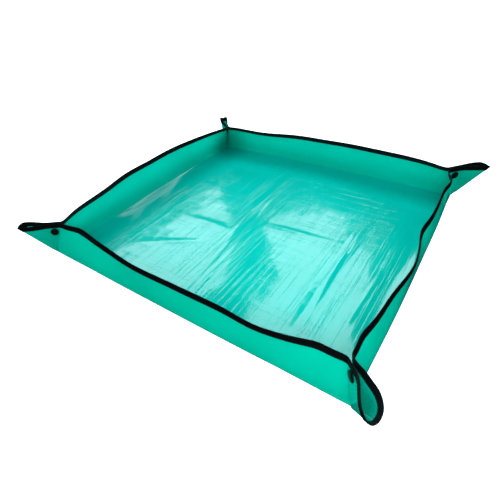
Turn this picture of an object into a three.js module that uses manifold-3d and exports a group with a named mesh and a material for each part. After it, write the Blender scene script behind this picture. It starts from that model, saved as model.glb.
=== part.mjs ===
// Repotting mat: a square coated sheet whose corners snap together, so that it stands up as a shallow tray.
// Millimetres, +Z up. The origin is on the ground, under the middle of the mat.
// The sheet is drawn as the panels between its folds: a floor, four walls, and two flaps for each corner ear.

import * as THREE from "three";
import { mergeVertices } from "three/addons/utils/BufferGeometryUtils.js";
import Module from "manifold-3d";

// Sheet and folds
const SHEET_SIDE = 600;
const SHEET_THICKNESS = 0.5;
const WALL_WIDTH = 56; // from the fold line to the sheet's edge
const FOLD_RISE = 2.5; // the fold line's height over the floor
const FLOOR_RAMP = 16; // width of the floor's upturned border
const FOOT_REACH = 8; // how far the foot of a wall runs on outwards before it turns up
const CREASE_INSET = 14; // the ear's crease leans this far along the wall on its way up to the rim

// Corner ears
const CORNER_ROUNDING = 16; // radius of the sheet's four corners
const EAR_FOOT_SPREAD = 14; // up from the floor's corner, where the flaps reach their full spacing
const EAR_RELIEF = 6; // the flaps start this far above the fold line
const EAR_ROUND_START = 0.8; // share of the way round the ear where its outer fold begins to close
const EAR_WIDTH = 18; // across the loop of an ear, at the rim
const OPEN_EAR_WIDTH = 20; // of the one ear that gapes wider

// Clearances
const CLEARANCE = 0.3; // between faces that touch on the real mat
const FOLD_GAP = 0.8; // between panels, across a fold
const TIP_GAP = 1.6; // between an ear's two flaps, at its outer fold

// Edge binding
const BINDING_WIDTH = 7;
const TAPE_THICKNESS = 0.5;
const BINDING_TRIM = 0.8; // cut back from a crease or an outer fold, so that two stretches clear each other

// Press studs
const CAP_DIAMETER = 12.5;
const CAP_HEIGHT = 2;
const CAP_EDGE = 0.8;
const CAP_MARGIN = 0.6; // bare sheet between a cap and the binding, or the crease
const POST_DIAMETER = 2.2;
const POST_REACH = 1.5; // how far the stud cap's post goes into the stud
const FLANGE_DIAMETER = 10.5;
const FLANGE_THICKNESS = 1;
const STUD_DIAMETER = 4.4;
const STUD_LENGTH = 2.1;
const STUD_NECK = 0.3; // how much the stud narrows behind its head
const STUD_HEAD = 0.6;
const SOCKET_WEB = 0.5; // floor of the socket's recess

// Fineness of the curved surfaces
const WALL_STEPS = 20; // along a wall
const WALL_RISE_STEPS = 5; // up a wall, to the foot of the binding
const RAMP_STEPS = 4;
const EAR_STEPS = 5; // from the crease to where the ear's outer fold begins
const EAR_FOLD_STEPS = 4;
const TURNED_STEPS = 16;
const DOME_STEPS = 4;
const SLOPE_STEP = 1e-3; // for measuring a surface's slope
const WELD = 1e-4; // vertices closer than this are one

// How quickly a wall's rounded foot and the bend of its crease fade out along it, as powers
const FOOT_FADE = 4;
const CREASE_FADE = 8;

// How late an ear's lean to one side sets in on the way round it, as a power
const EAR_LEAN_ONSET = 1.5;

// Walls, anticlockwise from above: heading from +X, and the slope of the middle of the wall, in degrees.
const WALLS = [
  { name: "right", heading: 0, lean: 93 },
  { name: "back", heading: 90, lean: 75 },
  { name: "left", heading: 180, lean: 62 },
  { name: "front", heading: 270, lean: 88 },
];

// The corner after each of those walls, half the width of its ear's loop, and how far the ear's tip leans over
// towards that wall's side.
const CORNERS = [
  { name: "back_right", halfWidth: EAR_WIDTH / 2, tipLean: 12 },
  { name: "back_left", halfWidth: EAR_WIDTH / 2, tipLean: 0 },
  { name: "front_left", halfWidth: EAR_WIDTH / 2, tipLean: 4 },
  { name: "front_right", halfWidth: OPEN_EAR_WIDTH / 2, tipLean: 11 },
];

// Sizes that follow from these. A wall is drawn facing +X, with the ear of its +Y end.
const halfSheet = SHEET_THICKNESS / 2;
const fold = SHEET_SIDE / 2 - WALL_WIDTH;
const foldHeight = halfSheet + FOLD_RISE;
const creaseLength = Math.hypot(WALL_WIDTH, CREASE_INSET);
const bindingFoot = WALL_WIDTH - BINDING_WIDTH;
const capRadius = CAP_DIAMETER / 2;
const postRadius = POST_DIAMETER / 2;
const postHoleRadius = postRadius + CLEARANCE;
const flangeRadius = FLANGE_DIAMETER / 2;
const studRadius = STUD_DIAMETER / 2;
const socketThickness = SOCKET_WEB + STUD_LENGTH;

// Levels along a press stud's axis, from the plane midway between an ear's two flaps.
const flapInnerFace = (FLANGE_THICKNESS + CLEARANCE + socketThickness) / 2 + CLEARANCE;
const flapMiddle = flapInnerFace + halfSheet;
const snapSeat = flapInnerFace - CLEARANCE;
const capSeat = flapMiddle + halfSheet + CLEARANCE;

// A corner's own directions: away from the mat, across the ear towards this wall's flap, and up.
const OUTWARD = new THREE.Vector3(1, 1, 0).normalize();
const ACROSS = new THREE.Vector3(1, -1, 0).normalize();
const UP = new THREE.Vector3(0, 0, 1);

// The walls turn up until the two flaps of an ear lie their spacing apart.
const wallAngle = Math.acos((flapMiddle * Math.SQRT2 - CREASE_INSET) / WALL_WIDTH);
const floorCorner = new THREE.Vector3(fold, fold, foldHeight);
const pinchFromCorner = new THREE.Vector3(
  WALL_WIDTH * Math.cos(wallAngle),
  -CREASE_INSET,
  WALL_WIDTH * Math.sin(wallAngle),
);
const pinch = floorCorner.clone().add(pinchFromCorner);

// The crease's angle round the corner on the flat sheet, from square to the edge, and its slope on the mat.
const creaseBearing = -Math.atan2(CREASE_INSET, WALL_WIDTH);
const creaseSlope = Math.atan2(pinchFromCorner.z, pinchFromCorner.dot(OUTWARD));
const tipRadius = WALL_WIDTH * Math.SQRT2;

// An ear's outer fold runs this far beside the sheet's diagonal, so that the bindings clear when it is flat.
const tipInset = halfSheet + CLEARANCE + TAPE_THICKNESS + CLEARANCE;

// The press stud's place on the flat sheet, and the share of the ear that stays flat for it.
const snapUp = bindingFoot - CAP_MARGIN - capRadius;
const snapAlong = ((capRadius + CAP_MARGIN) * creaseLength - snapUp * CREASE_INSET) / WALL_WIDTH;
const snapRadius = Math.hypot(snapUp, snapAlong);
const snapBearing = Math.atan2(snapAlong, snapUp);
const flatUntil = (snapBearing + Math.asin(capRadius / snapRadius) - creaseBearing) / earBearing(snapUp);

const sheetFinish = new THREE.MeshStandardMaterial({ color: 0x12b7a2, roughness: 0.35, metalness: 0 });
const bindingFinish = new THREE.MeshStandardMaterial({ color: 0x141618, roughness: 0.9, metalness: 0 });
const snapFinish = new THREE.MeshStandardMaterial({ color: 0x101214, roughness: 0.3, metalness: 0 });

function radians(degrees) {
  return THREE.MathUtils.degToRad(degrees);
}

function evenly(from, to, steps) {
  return Array.from({ length: steps + 1 }, (_, i) => from + ((to - from) * i) / steps);
}

// The floor: flat, with a border that turns up to the fold line on all four sides.
function floorPoint(x, y) {
  const ramp = (distance) => Math.max(0, (distance - (fold - FLOOR_RAMP)) / FLOOR_RAMP) ** 2;
  const rise = 1 - (1 - ramp(Math.abs(x))) * (1 - ramp(Math.abs(y)));
  return new THREE.Vector3(x, y, halfSheet + FOLD_RISE * rise);
}

// The angle round the corner from an ear's crease to its outer fold, on the flat sheet.
function earBearing(up) {
  return Math.atan2(up - tipInset * Math.SQRT2, up) - creaseBearing;
}

// The share of the way to a square sheet's edge that the rounded corner leaves, at an angle round the fold's
// corner.
function cornerReach(bearing) {
  const arcCentre = WALL_WIDTH - CORNER_ROUNDING;
  if (WALL_WIDTH * Math.tan(bearing) <= arcCentre) {
    return 1;
  }
  const toCentre = arcCentre * (Math.cos(bearing) + Math.sin(bearing));
  const besideCentre = arcCentre * (Math.cos(bearing) - Math.sin(bearing));
  const toEdge = toCentre + Math.sqrt(CORNER_ROUNDING ** 2 - besideCentre ** 2);
  return (toEdge * Math.cos(bearing)) / WALL_WIDTH;
}

// How far an ear has opened to its full spacing, at a distance from the floor's corner.
function earSpread(radius) {
  return THREE.MathUtils.smoothstep(radius, 0, EAR_FOOT_SPREAD);
}

// The share along a wall's bent section for a share of its width, so that even steps on the sheet stay even.
function bentShare(rise, toKnee, fromKnee) {
  const pace = Math.sqrt(toKnee ** 2 + (fromKnee ** 2 - toKnee ** 2) * rise);
  return ((toKnee + fromKnee) * rise) / (toKnee + pace);
}

// A wall: along runs from -1 to 1 between its two creases, up is the distance from the fold on the sheet.
function wallPoint(along, up, lean) {
  const rise = up / WALL_WIDTH;
  const bow = 1 - along ** 2;
  const foot = new THREE.Vector3(fold, along * fold, foldHeight);
  const middleRim = new THREE.Vector3(
    fold + WALL_WIDTH * Math.cos(radians(lean)),
    0,
    foldHeight + WALL_WIDTH * Math.sin(radians(lean)),
  );
  const rim = new THREE.Vector3().lerpVectors(pinch, middleRim, bow);
  rim.y = along * pinch.y;
  const straight = foot.clone().lerp(rim, 0.5);
  const footSlope = Math.atan2(2 * FOLD_RISE, FLOOR_RAMP);
  const turnedOut = new THREE.Vector3(
    fold + FOOT_REACH * Math.cos(footSlope),
    straight.y,
    foldHeight + FOOT_REACH * Math.sin(footSlope),
  );
  const knee = straight.lerp(turnedOut, 1 - along ** FOOT_FADE);
  const share = bentShare(rise, foot.distanceTo(knee), knee.distanceTo(rim));
  const point = new THREE.Vector3()
    .addScaledVector(foot, (1 - share) ** 2)
    .addScaledVector(knee, 2 * share * (1 - share))
    .addScaledVector(rim, share ** 2);
  const creaseBend = flapMiddle * (earSpread(rise * creaseLength) - rise) * along ** CREASE_FADE;
  point.x += creaseBend * ACROSS.x;
  point.y += creaseBend * ACROSS.y * Math.sign(along);
  return point;
}

// An ear flap: round runs from 0 at the crease to 1 at the sheet's diagonal, up as on a wall.
function flapPoint(round, up, ear) {
  const creaseAlong = (-CREASE_INSET * up) / WALL_WIDTH;
  const along = creaseAlong + round * (up - creaseAlong);
  const bearing = Math.atan2(along, up);
  const radius = Math.hypot(up, along) * cornerReach(bearing);
  const turn = (bearing - creaseBearing) / earBearing(up);
  const slope = creaseSlope - (bearing - creaseBearing);
  const closing = Math.max(0, (turn - EAR_ROUND_START) / (1 - EAR_ROUND_START));
  const bulge = THREE.MathUtils.smoothstep(turn, flatUntil, EAR_ROUND_START);
  const open = earOpening(radius, bulge, ear.halfWidth) * Math.sqrt(Math.max(0, 1 - closing ** 2));
  const leaning = Math.max(0, (turn - flatUntil) / (1 - flatUntil)) ** EAR_LEAN_ONSET;
  return floorCorner
    .clone()
    .addScaledVector(OUTWARD, radius * Math.cos(slope))
    .addScaledVector(UP, radius * Math.sin(slope))
    .addScaledVector(ACROSS, open + (ear.tipLean * leaning * radius) / tipRadius);
}

function earOpening(radius, bulge, halfWidth) {
  return flapMiddle * earSpread(radius) + ((halfWidth - flapMiddle) * bulge * radius) / tipRadius;
}

// The share round the ear for a station: 0 to 1 up to where the outer fold begins, 1 to 2 round that fold.
// The first trim is cut back from the crease, the second from the plane midway between the ear's two flaps.
function roundAt(station, up, creaseTrim, tipTrim, halfWidth) {
  const width = up * (1 + CREASE_INSET / WALL_WIDTH);
  const start = creaseTrim / width;
  const turnAtRound = creaseBearing + EAR_ROUND_START * earBearing(up);
  const beginsClosing = (Math.tan(turnAtRound) * up + (CREASE_INSET * up) / WALL_WIDTH) / width;
  if (station <= 1) {
    return start + (beginsClosing - start) * station;
  }
  const widest = earOpening(up * Math.SQRT2, 1, halfWidth);
  const lastClosing = Math.sqrt(1 - (tipTrim / widest) ** 2);
  const closing = Math.sin((station - 1) * Math.asin(lastClosing));
  const bearing = turnAtRound + closing * (1 - EAR_ROUND_START) * earBearing(up);
  return (Math.tan(bearing) * up + (CREASE_INSET * up) / WALL_WIDTH) / width;
}

// The unit normal of a surface, on the outer face of the mat.
function normalAt(surface, a, b) {
  const alongA = surface(a + SLOPE_STEP, b).sub(surface(a - SLOPE_STEP, b));
  const alongB = surface(a, b + SLOPE_STEP).sub(surface(a, b - SLOPE_STEP));
  return alongA.cross(alongB).normalize();
}

function geometryFrom(points, triangles) {
  const geometry = new THREE.BufferGeometry().setFromPoints(points);
  geometry.setIndex(triangles);
  return geometry;
}

// A closed sheet of the mat's thickness, on a grid of stations over a surface.
function sheetSolid(surface, stationsA, stationsB) {
  const columns = stationsB.length;
  const layer = stationsA.length * columns;
  const outer = [];
  const inner = [];
  for (const a of stationsA) {
    for (const b of stationsB) {
      const normal = normalAt(surface, a, b);
      outer.push(surface(a, b).addScaledVector(normal, halfSheet));
      inner.push(surface(a, b).addScaledVector(normal, -halfSheet));
    }
  }
  const triangles = [];
  const quad = (p, q, r, s) => triangles.push(p, q, r, p, r, s);
  const at = (i, j) => i * columns + j;
  const lastA = stationsA.length - 1;
  const lastB = columns - 1;
  for (let i = 0; i < lastA; i += 1) {
    for (let j = 0; j < lastB; j += 1) {
      quad(at(i, j), at(i + 1, j), at(i + 1, j + 1), at(i, j + 1));
      quad(layer + at(i, j), layer + at(i, j + 1), layer + at(i + 1, j + 1), layer + at(i + 1, j));
    }
    quad(at(i, 0), layer + at(i, 0), layer + at(i + 1, 0), at(i + 1, 0));
    quad(at(i, lastB), at(i + 1, lastB), layer + at(i + 1, lastB), layer + at(i, lastB));
  }
  for (let j = 0; j < lastB; j += 1) {
    quad(at(0, j), at(0, j + 1), layer + at(0, j + 1), layer + at(0, j));
    quad(at(lastA, j), layer + at(lastA, j), layer + at(lastA, j + 1), at(lastA, j + 1));
  }
  return geometryFrom([...outer, ...inner], triangles);
}

// The binding tape folded over the sheet's edge, swept along that edge. Each of its faces is split into
// triangles along the same diagonal as the sheet under it, so that the two stay parallel where they twist.
function bindingSolid(surface, stations) {
  const slot = halfSheet + CLEARANCE;
  const face = slot + TAPE_THICKNESS;
  const slotEnd = WALL_WIDTH + CLEARANCE;
  const edge = slotEnd + TAPE_THICKNESS;
  const section = [
    [bindingFoot, -face],
    [edge, -face],
    [edge, face],
    [bindingFoot, face],
    [bindingFoot, slot],
    [slotEnd, slot],
    [slotEnd, -slot],
    [bindingFoot, -slot],
  ];
  const points = [];
  for (const station of stations) {
    for (const [up, offset] of section) {
      points.push(surface(station, up).addScaledVector(normalAt(surface, station, up), offset));
    }
  }
  const count = section.length;
  const last = (stations.length - 1) * count;
  const triangles = [];
  const quad = (p, q, r, s) => triangles.push(p, q, r, p, r, s);
  for (let ring = 0; ring < last; ring += count) {
    for (let i = 0; i < count; i += 1) {
      const next = (i + 1) % count;
      const corners = [ring + i, ring + next, ring + count + next, ring + count + i];
      const risesToEdge = section[next][0] >= section[i][0];
      quad(...(risesToEdge ? corners : [...corners.slice(1), corners[0]]));
    }
  }
  for (const [p, q, r, s] of [[0, 1, 6, 7], [1, 2, 5, 6], [2, 3, 4, 5]]) {
    quad(s, r, q, p);
    quad(last + p, last + q, last + r, last + s);
  }
  return geometryFrom(points, triangles);
}

function mirrored(geometry) {
  const copy = geometry.clone().scale(1, -1, 1);
  copy.setIndex(Array.from(copy.index.array).reverse());
  return copy;
}

// A piece turned about +Y, from its radius at each level.
function turned(profile) {
  const outline = profile.map(([radius, level]) => new THREE.Vector2(radius, level));
  return new THREE.LatheGeometry(outline, TURNED_STEPS);
}

function toManifold(geometry) {
  const bare = geometry.clone();
  bare.deleteAttribute("normal");
  bare.deleteAttribute("uv");
  const merged = mergeVertices(bare, WELD);
  const triVerts = new Uint32Array(merged.index.array);
  return new wasm.Manifold(
    new wasm.Mesh({ numProp: 3, vertProperties: merged.attributes.position.array, triVerts }),
  );
}

function cutFrom(geometry, tool) {
  const mesh = toManifold(geometry).subtract(toManifold(tool)).getMesh();
  const result = new THREE.BufferGeometry();
  result.setAttribute("position", new THREE.BufferAttribute(mesh.vertProperties, 3));
  result.setIndex(new THREE.BufferAttribute(mesh.triVerts, 1));
  return result;
}

// Places a piece turned about +Y on the press stud's axis. Its levels run from between the flaps outwards.
function placeOnSnapAxis(object) {
  const slope = creaseSlope - (snapBearing - creaseBearing);
  object.position
    .copy(floorCorner)
    .addScaledVector(OUTWARD, snapRadius * Math.cos(slope))
    .addScaledVector(UP, snapRadius * Math.sin(slope));
  object.quaternion.setFromUnitVectors(new THREE.Vector3(0, 1, 0), ACROSS);
  object.updateMatrix();
  return object;
}

function studSolid() {
  const flangeFace = snapSeat - FLANGE_THICKNESS;
  const end = flangeFace - STUD_LENGTH;
  const boreEnd = snapSeat - POST_REACH - CLEARANCE;
  return turned([
    [0, end],
    [studRadius - STUD_NECK, end],
    [studRadius, end + STUD_HEAD],
    [studRadius - STUD_NECK, flangeFace],
    [flangeRadius, flangeFace],
    [flangeRadius, snapSeat],
    [postHoleRadius, snapSeat],
    [postHoleRadius, boreEnd],
    [0, boreEnd],
  ]);
}

function socketSolid() {
  const face = snapSeat - socketThickness;
  const recessEnd = snapSeat - SOCKET_WEB;
  const recessRadius = studRadius + CLEARANCE;
  return turned([
    [recessRadius, face],
    [flangeRadius, face],
    [flangeRadius, snapSeat],
    [postHoleRadius, snapSeat],
    [postHoleRadius, recessEnd],
    [recessRadius, recessEnd],
    [recessRadius, face],
  ]);
}

// A low domed cap with the post that holds it to its stud or socket, through the sheet.
function capSolid(postEnd) {
  const dome = evenly(0, Math.PI / 2, DOME_STEPS).map((angle) => [
    angle < Math.PI / 2 ? capRadius * Math.cos(angle) : 0,
    capSeat + CAP_EDGE + (CAP_HEIGHT - CAP_EDGE) * Math.sin(angle),
  ]);
  return turned([[0, postEnd], [postRadius, postEnd], [postRadius, capSeat], [capRadius, capSeat], ...dome]);
}

function postHoleTool() {
  const tool = placeOnSnapAxis(new THREE.Object3D());
  const length = 2 * capSeat;
  const cylinder = new THREE.CylinderGeometry(postHoleRadius, postHoleRadius, length, TURNED_STEPS);
  return cylinder.translate(0, length / 2, 0).applyMatrix4(tool.matrix);
}

function named(name, geometry, finish) {
  const mesh = new THREE.Mesh(geometry, finish);
  mesh.name = name;
  return mesh;
}

function floorMesh() {
  const reach = fold - FOLD_GAP / 2;
  const border = evenly(fold - FLOOR_RAMP, reach, RAMP_STEPS);
  const stations = [...border.map((distance) => -distance).reverse(), 0, ...border];
  const below = (x, y) => floorPoint(y, x);
  return named("floor_panel", sheetSolid(below, stations, stations), sheetFinish);
}

// Stations from crease to crease, closer near the creases, where the wall twists most.
// Only the two end ones are trimmed, so that what lies on the wall fits it.
function wallStations(trim) {
  const reach = 1 - trim / pinch.y;
  const angles = evenly(-Math.PI / 2, Math.PI / 2, WALL_STEPS);
  return [-reach, ...angles.slice(1, -1).map(Math.sin), reach];
}

function wallMeshes(wall) {
  const surface = (along, up) => wallPoint(along, up, wall.lean);
  const lowest = FOLD_GAP / 2;
  const closerBelow = evenly(0, 1, WALL_RISE_STEPS).map((step) => lowest + (bindingFoot - lowest) * step ** 2);
  const panel = sheetSolid(surface, wallStations(FOLD_GAP / 2), [...closerBelow, WALL_WIDTH]);
  const binding = bindingSolid(surface, wallStations(BINDING_TRIM));
  return [
    named(`${wall.name}_wall_panel`, panel, sheetFinish),
    named(`${wall.name}_wall_binding`, binding, bindingFinish),
  ];
}

const earStations = [...evenly(0, 1, EAR_STEPS), ...evenly(1, 2, EAR_FOLD_STEPS).slice(1)];

// The flap's surface by stations, cut back from the crease and from the ear's outer fold.
function earSurface(creaseTrim, tipTrim, ear) {
  return (station, up) => {
    const round = roundAt(station, up, creaseTrim, tipTrim, ear.halfWidth);
    return flapPoint(round, up, ear);
  };
}

function earPanel(ear) {
  const surface = earSurface(FOLD_GAP / 2, TIP_GAP / 2, ear);
  const heights = [EAR_RELIEF, EAR_FOOT_SPREAD, (EAR_FOOT_SPREAD + bindingFoot) / 2, bindingFoot, WALL_WIDTH];
  return cutFrom(sheetSolid(surface, earStations, heights), postHoleTool());
}

function earBinding(ear) {
  const surface = earSurface(BINDING_TRIM, TIP_GAP / 2 + BINDING_TRIM, ear);
  return bindingSolid(surface, earStations);
}

// The flap at one end of a wall, with its binding and its half of the press stud.
function earMeshes(wall, corner, isSecondEnd) {
  const ear = { halfWidth: corner.halfWidth, tipLean: isSecondEnd ? corner.tipLean : -corner.tipLean };
  const place = isSecondEnd ? (geometry) => geometry : mirrored;
  const snapNames = isSecondEnd ? ["stud", "stud_cap"] : ["socket", "socket_cap"];
  const snapShapes = isSecondEnd
    ? [studSolid(), capSolid(snapSeat - POST_REACH)]
    : [socketSolid(), capSolid(snapSeat - SOCKET_WEB)];
  const snapPlace = placeOnSnapAxis(new THREE.Object3D());
  return [
    named(`${corner.name}_ear_${wall.name}_flap`, place(earPanel(ear)), sheetFinish),
    named(`${corner.name}_ear_${wall.name}_binding`, place(earBinding(ear)), bindingFinish),
    ...snapNames.map((name, i) =>
      named(`${corner.name}_${name}`, place(snapShapes[i].applyMatrix4(snapPlace.matrix)), snapFinish),
    ),
  ];
}

const wasm = await Module();
wasm.setup();

const mat = new THREE.Group();
mat.add(floorMesh());
WALLS.forEach((wall, i) => {
  const side = new THREE.Group();
  side.rotation.z = radians(wall.heading);
  const cornerBefore = CORNERS[(i + CORNERS.length - 1) % CORNERS.length];
  side.add(...wallMeshes(wall));
  side.add(...earMeshes(wall, CORNERS[i], true));
  side.add(...earMeshes(wall, cornerBefore, false));
  mat.add(side);
});

export default mat;
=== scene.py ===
from dataclasses import dataclass

import bpy
import numpy as np
from mathutils import Matrix


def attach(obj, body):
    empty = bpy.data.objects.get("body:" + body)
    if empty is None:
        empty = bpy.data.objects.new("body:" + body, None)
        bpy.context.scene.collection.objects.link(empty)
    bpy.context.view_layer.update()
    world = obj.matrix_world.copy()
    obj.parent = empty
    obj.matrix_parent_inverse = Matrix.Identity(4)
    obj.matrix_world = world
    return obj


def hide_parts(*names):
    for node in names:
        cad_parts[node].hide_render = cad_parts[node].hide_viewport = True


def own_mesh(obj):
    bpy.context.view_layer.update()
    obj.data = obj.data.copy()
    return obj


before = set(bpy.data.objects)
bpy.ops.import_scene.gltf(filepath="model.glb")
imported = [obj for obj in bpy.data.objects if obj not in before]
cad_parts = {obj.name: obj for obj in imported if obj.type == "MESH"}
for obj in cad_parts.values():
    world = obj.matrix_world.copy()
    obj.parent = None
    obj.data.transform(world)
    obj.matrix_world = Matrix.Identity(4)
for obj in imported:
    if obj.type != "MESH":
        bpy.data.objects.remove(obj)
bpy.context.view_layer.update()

# Repotting mat: a square coated sheet with a sewn edge binding, snapped at its corners into a shallow tray.
# Lengths are in millimetres and become metres where a mesh is made.
MM = 0.001

# Sheet and folds, as in the solids
SHEET_SIDE = 600.0
SHEET_THICKNESS = 0.5
WALL_WIDTH = 56.0
FOLD_RISE = 2.5  # of the folds above the floor
FOOT_REACH = 8.0  # how far a wall runs on along the floor's slope before it turns up
CREASE_INSET = 14.0  # of the pinch from the fold's end, along the rim
CORNER_ROUNDING = 16.0
EAR_FOOT_SPREAD = 14.0  # from the fold's corner, where an ear's two flaps come apart
EAR_ROUND_START = 0.8  # share of a flap's turn from which it rounds over to the ear's outer fold
EAR_WIDTH = 18.0
OPEN_EAR_WIDTH = 20.0
EAR_LEAN_ONSET = 1.5  # power with which an ear's lean grows towards its tip
CLEARANCE = 0.3

# The floor's turn up to its folds, a little wider than in the solids
FLOOR_RAMP = 23.0

# Edge binding and its sewing
BINDING_WIDTH = 7.0
TAPE_THICKNESS = 0.55
TAPE_LIFT = 0.05  # between the tape and the sheet under it
TAPE_FOLD_TURNS = (60, 30, 0, -30, -60)  # steps of the tape's way round the sheet's edge, in degrees
TAPE_SHARP_ANGLE = 50
STITCH_PITCH = 4.0
STITCH_LENGTH = 3.0
STITCH_RADIUS = 0.32
STITCH_INSET = 1.4  # from the tape's inner edge
STITCH_SIDES = 6

# A stitch from end to end: place as a share of its length, width and height as shares of its radius
STITCH_PROFILE = [(-0.5, 0.35, -0.6), (-0.36, 0.9, 0.1), (0, 1.0, 0.3), (0.36, 0.9, 0.1), (0.5, 0.35, -0.6)]

# Press studs, as in the solids
CAP_DIAMETER = 12.5
CAP_HEIGHT = 2.0
CAP_EDGE = 0.8
CAP_MARGIN = 0.6  # from a cap to the binding and to the crease
POST_DIAMETER = 2.2
POST_REACH = 1.5
FLANGE_DIAMETER = 10.5
FLANGE_THICKNESS = 1.0
STUD_DIAMETER = 4.4
STUD_LENGTH = 2.1
STUD_NECK = 0.3
STUD_HEAD = 0.6
SOCKET_WEB = 0.5

# Rounding of the studs' edges, and the fineness of what is turned
MOULDED_EDGE = 0.25
MOULDED_EDGE_LIMIT = 0.4  # share of a short side that a rounding may take
MOULDED_EDGE_STEPS = (0, 0.33, 0.67, 1)
CAP_DOME_STEPS = 12
TURNED_STEPS = 40
TURNED_SHARP_ANGLE = 40

# Fineness of the sheet
SPACING = 2.0
BINDING_ROWS = 4
FLAP_COLUMNS = 22
FLAP_ROUND_COLUMNS = 12
MERGE_STEPS = 1000  # to the millimetre: points that fall on one step are one point

# The walls, anticlockwise from above: name, heading from +X and slope of the wall's middle, in degrees
WALLS = [("right", 0, 93), ("back", 90, 75), ("left", 180, 62), ("front", 270, 88)]

# The corner after each of those walls, half the width of its ear's loop, and the lean of the ear's tip to
# that wall's side
CORNERS = [
    ("back_right", EAR_WIDTH / 2, 12.0),
    ("back_left", EAR_WIDTH / 2, 0.0),
    ("front_left", EAR_WIDTH / 2, 4.0),
    ("front_right", OPEN_EAR_WIDTH / 2, 11.0),
]

# How evenly a wall's shape passes over to its creases, as powers of the way along it
FOOT_FADE = 4
CREASE_FADE = 8

# Waves of each wall's rim: place along the wall, half length, and push outwards at the rim
RIM_WAVES = {
    "right": [(-205, 30, -4.5), (-70, 50, 6.0), (22, 30, -4.0), (115, 40, 2.0), (185, 24, 6.0)],
    "back": [(-150, 70, 3.0), (150, 60, -9.0)],
    "left": [(-100, 80, 7.0), (40, 60, 6.0)],
    "front": [(-190, 50, -12.0), (-120, 50, -4.0), (132, 36, 7.5), (203, 24, -6.5)],
}
RIM_WAVE_POWER = 1.6  # how a wave grows from the fold up to the rim
WAVE_EASE = 40.0  # from a crease, where waves and dents set in

# Uneven dents of the walls: height, lengths along and up the wall, and where the wave starts
SHORT_DENTS = (0.5, 19.0, 11.0, 1.3)
LONG_DENTS = (0.7, 41.0, 23.0, 0.4)

# The crease between a wall and its ear: the slope with which the wall turns in there, and how far that turn
# reaches along the wall, at the fold, and how much farther at the rim
CREASE_ROUNDING = 0.7
CREASE_SOFTNESS = (2.0, 6.0)

# The open ear's right flap turns out at its rim: how far, over which shares of its height, and over which
# shares of its turn the curl sets in and ends
EAR_CURL = 4.0
EAR_CURL_UP = (0.7, 1.05)
EAR_CURL_POWER = 1.5
EAR_CURL_START = (0.03, 0.4)
EAR_CURL_END = (0.6, 1.0)

# Folds that the mat was packed along, where the floor still buckles: the two ends of each, and the number of
# its wrinkles
PACK_FOLDS = [
    ((-39, 85), (-6, -215), 9),
    ((142, 75), (160, -215), 9),
    ((216, 90), (210, -150), 5),
]
PACK_FOLD_SPREAD = 7.0  # how far a fold's wrinkles lie to its sides
WORN_HALF_WIDTH = 22.0  # of the lined cloth beside a fold
WRINKLE_SEED = 7
WRINKLE_HEIGHT = 0.35
WRINKLE_HALF_WIDTH = 2.4
WRINKLE_HALF_LENGTH = (30, 90)
WRINKLE_PLACES = (0.05, 0.95)  # along the fold
WRINKLE_SKEW = 2.0  # of one end to the side
WRINKLE_HEIGHT_SHARES = (0.3, 1.0)
WRINKLE_WIDTH_SHARES = (0.7, 1.4)

# Single ridges across the floor: the two ends, half width and height
RIDGES = [
    ((20, 1), (108, 8), 5.0, 0.7),
    ((-112, -46), (-52, -44), 8.0, 0.9),
    ((-130, -140), (-58, -93), 7.0, 0.8),
    ((137, 90), (153, -230), 9.0, 1.1),
]
PILLOW_HEIGHT = 0.8  # of the floor between its packing folds
FLOOR_EASE = 45.0  # from the floor's edge, where swells and wrinkles set in

# Painted shade, darker where the left and the back wall turn up from the floor: where it sets in on the floor
# and ends on the wall, as distances from the fold, and how much darker it is
PAINTED_SHADE_ON_FLOOR = (-80.0, -15.0)
PAINTED_SHADE_ON_WALL = (8.0, 40.0)
PAINTED_SHADE_LEFT = 0.4
PAINTED_SHADE_BACK = 0.25

# Colours from the darkest to the lightest of their mottling
# The three teals are one cloth in lit and shaded copies: the outer faces greener as in shade, the floor bluer
# as under a cool sky
OUTER_TEAL = [(0.0, 0.43, 0.275), (0.0, 0.49, 0.32)]
INNER_TEAL = [(0.0, 0.45, 0.31), (0.0, 0.51, 0.36)]
FLOOR_TEAL = [(0.0, 0.44, 0.345), (0.0, 0.50, 0.405)]
TAPE_BLACK = [(0.001, 0.0012, 0.0014), (0.0045, 0.005, 0.006)]
THREAD_BLACK = [(0.002, 0.0025, 0.003), (0.01, 0.011, 0.013)]
PLASTIC_BLACK = [(0.003, 0.0035, 0.004), (0.007, 0.008, 0.009)]
STUDIO_WHITE = [(0.93, 0.93, 0.93), (0.95, 0.95, 0.95)]
BLACK = (0, 0, 0, 1)

# Surface of the coated sheet. Noise is given as features per metre along the sheet's x and y, and its detail.
# Bump heights are in metres.
SWELL_NOISE = ((11, 8), 2)
SWELL_HEIGHT = 0.003
MOTTLE_NOISE = ((9, 9), 5)
NOISE_BODY = (0.3, 0.7)  # between which most of a noise lies
WARP_NOISE = ((240, 3.5), 2)
WARP_SHARE = 1.0
WEFT_NOISE = ((3.5, 240), 2)
WEFT_SHARE = 0.45
LINE_CRESTS = (0.52, 0.62)  # part of the noise that makes a thin line
LINES_BY_WEAR = (0.6, 2.6)  # height of the warp's lines away from a packing fold, and on it
WALL_LINE_HEIGHT = 0.00004
FLOOR_LINE_HEIGHT = 0.0002
WEAVE_FADE = (15.0, 85.0)  # from the fold into the floor, where the lines of the weave appear
WEAVE_ON_WALLS = 0.25
SHEET_BUMP = 0.5
SHEET_ROUGHNESS = (0.4, 0.55)
COAT_ROUGHNESS = 0.07
SHEET_GLOW = 0.35  # share of the light that passes through the coating and out again
SHEET_GLOW_REACH = 0.003
SHEET_GLOW_COLOURS = (0.3, 1.0, 0.9)

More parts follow.
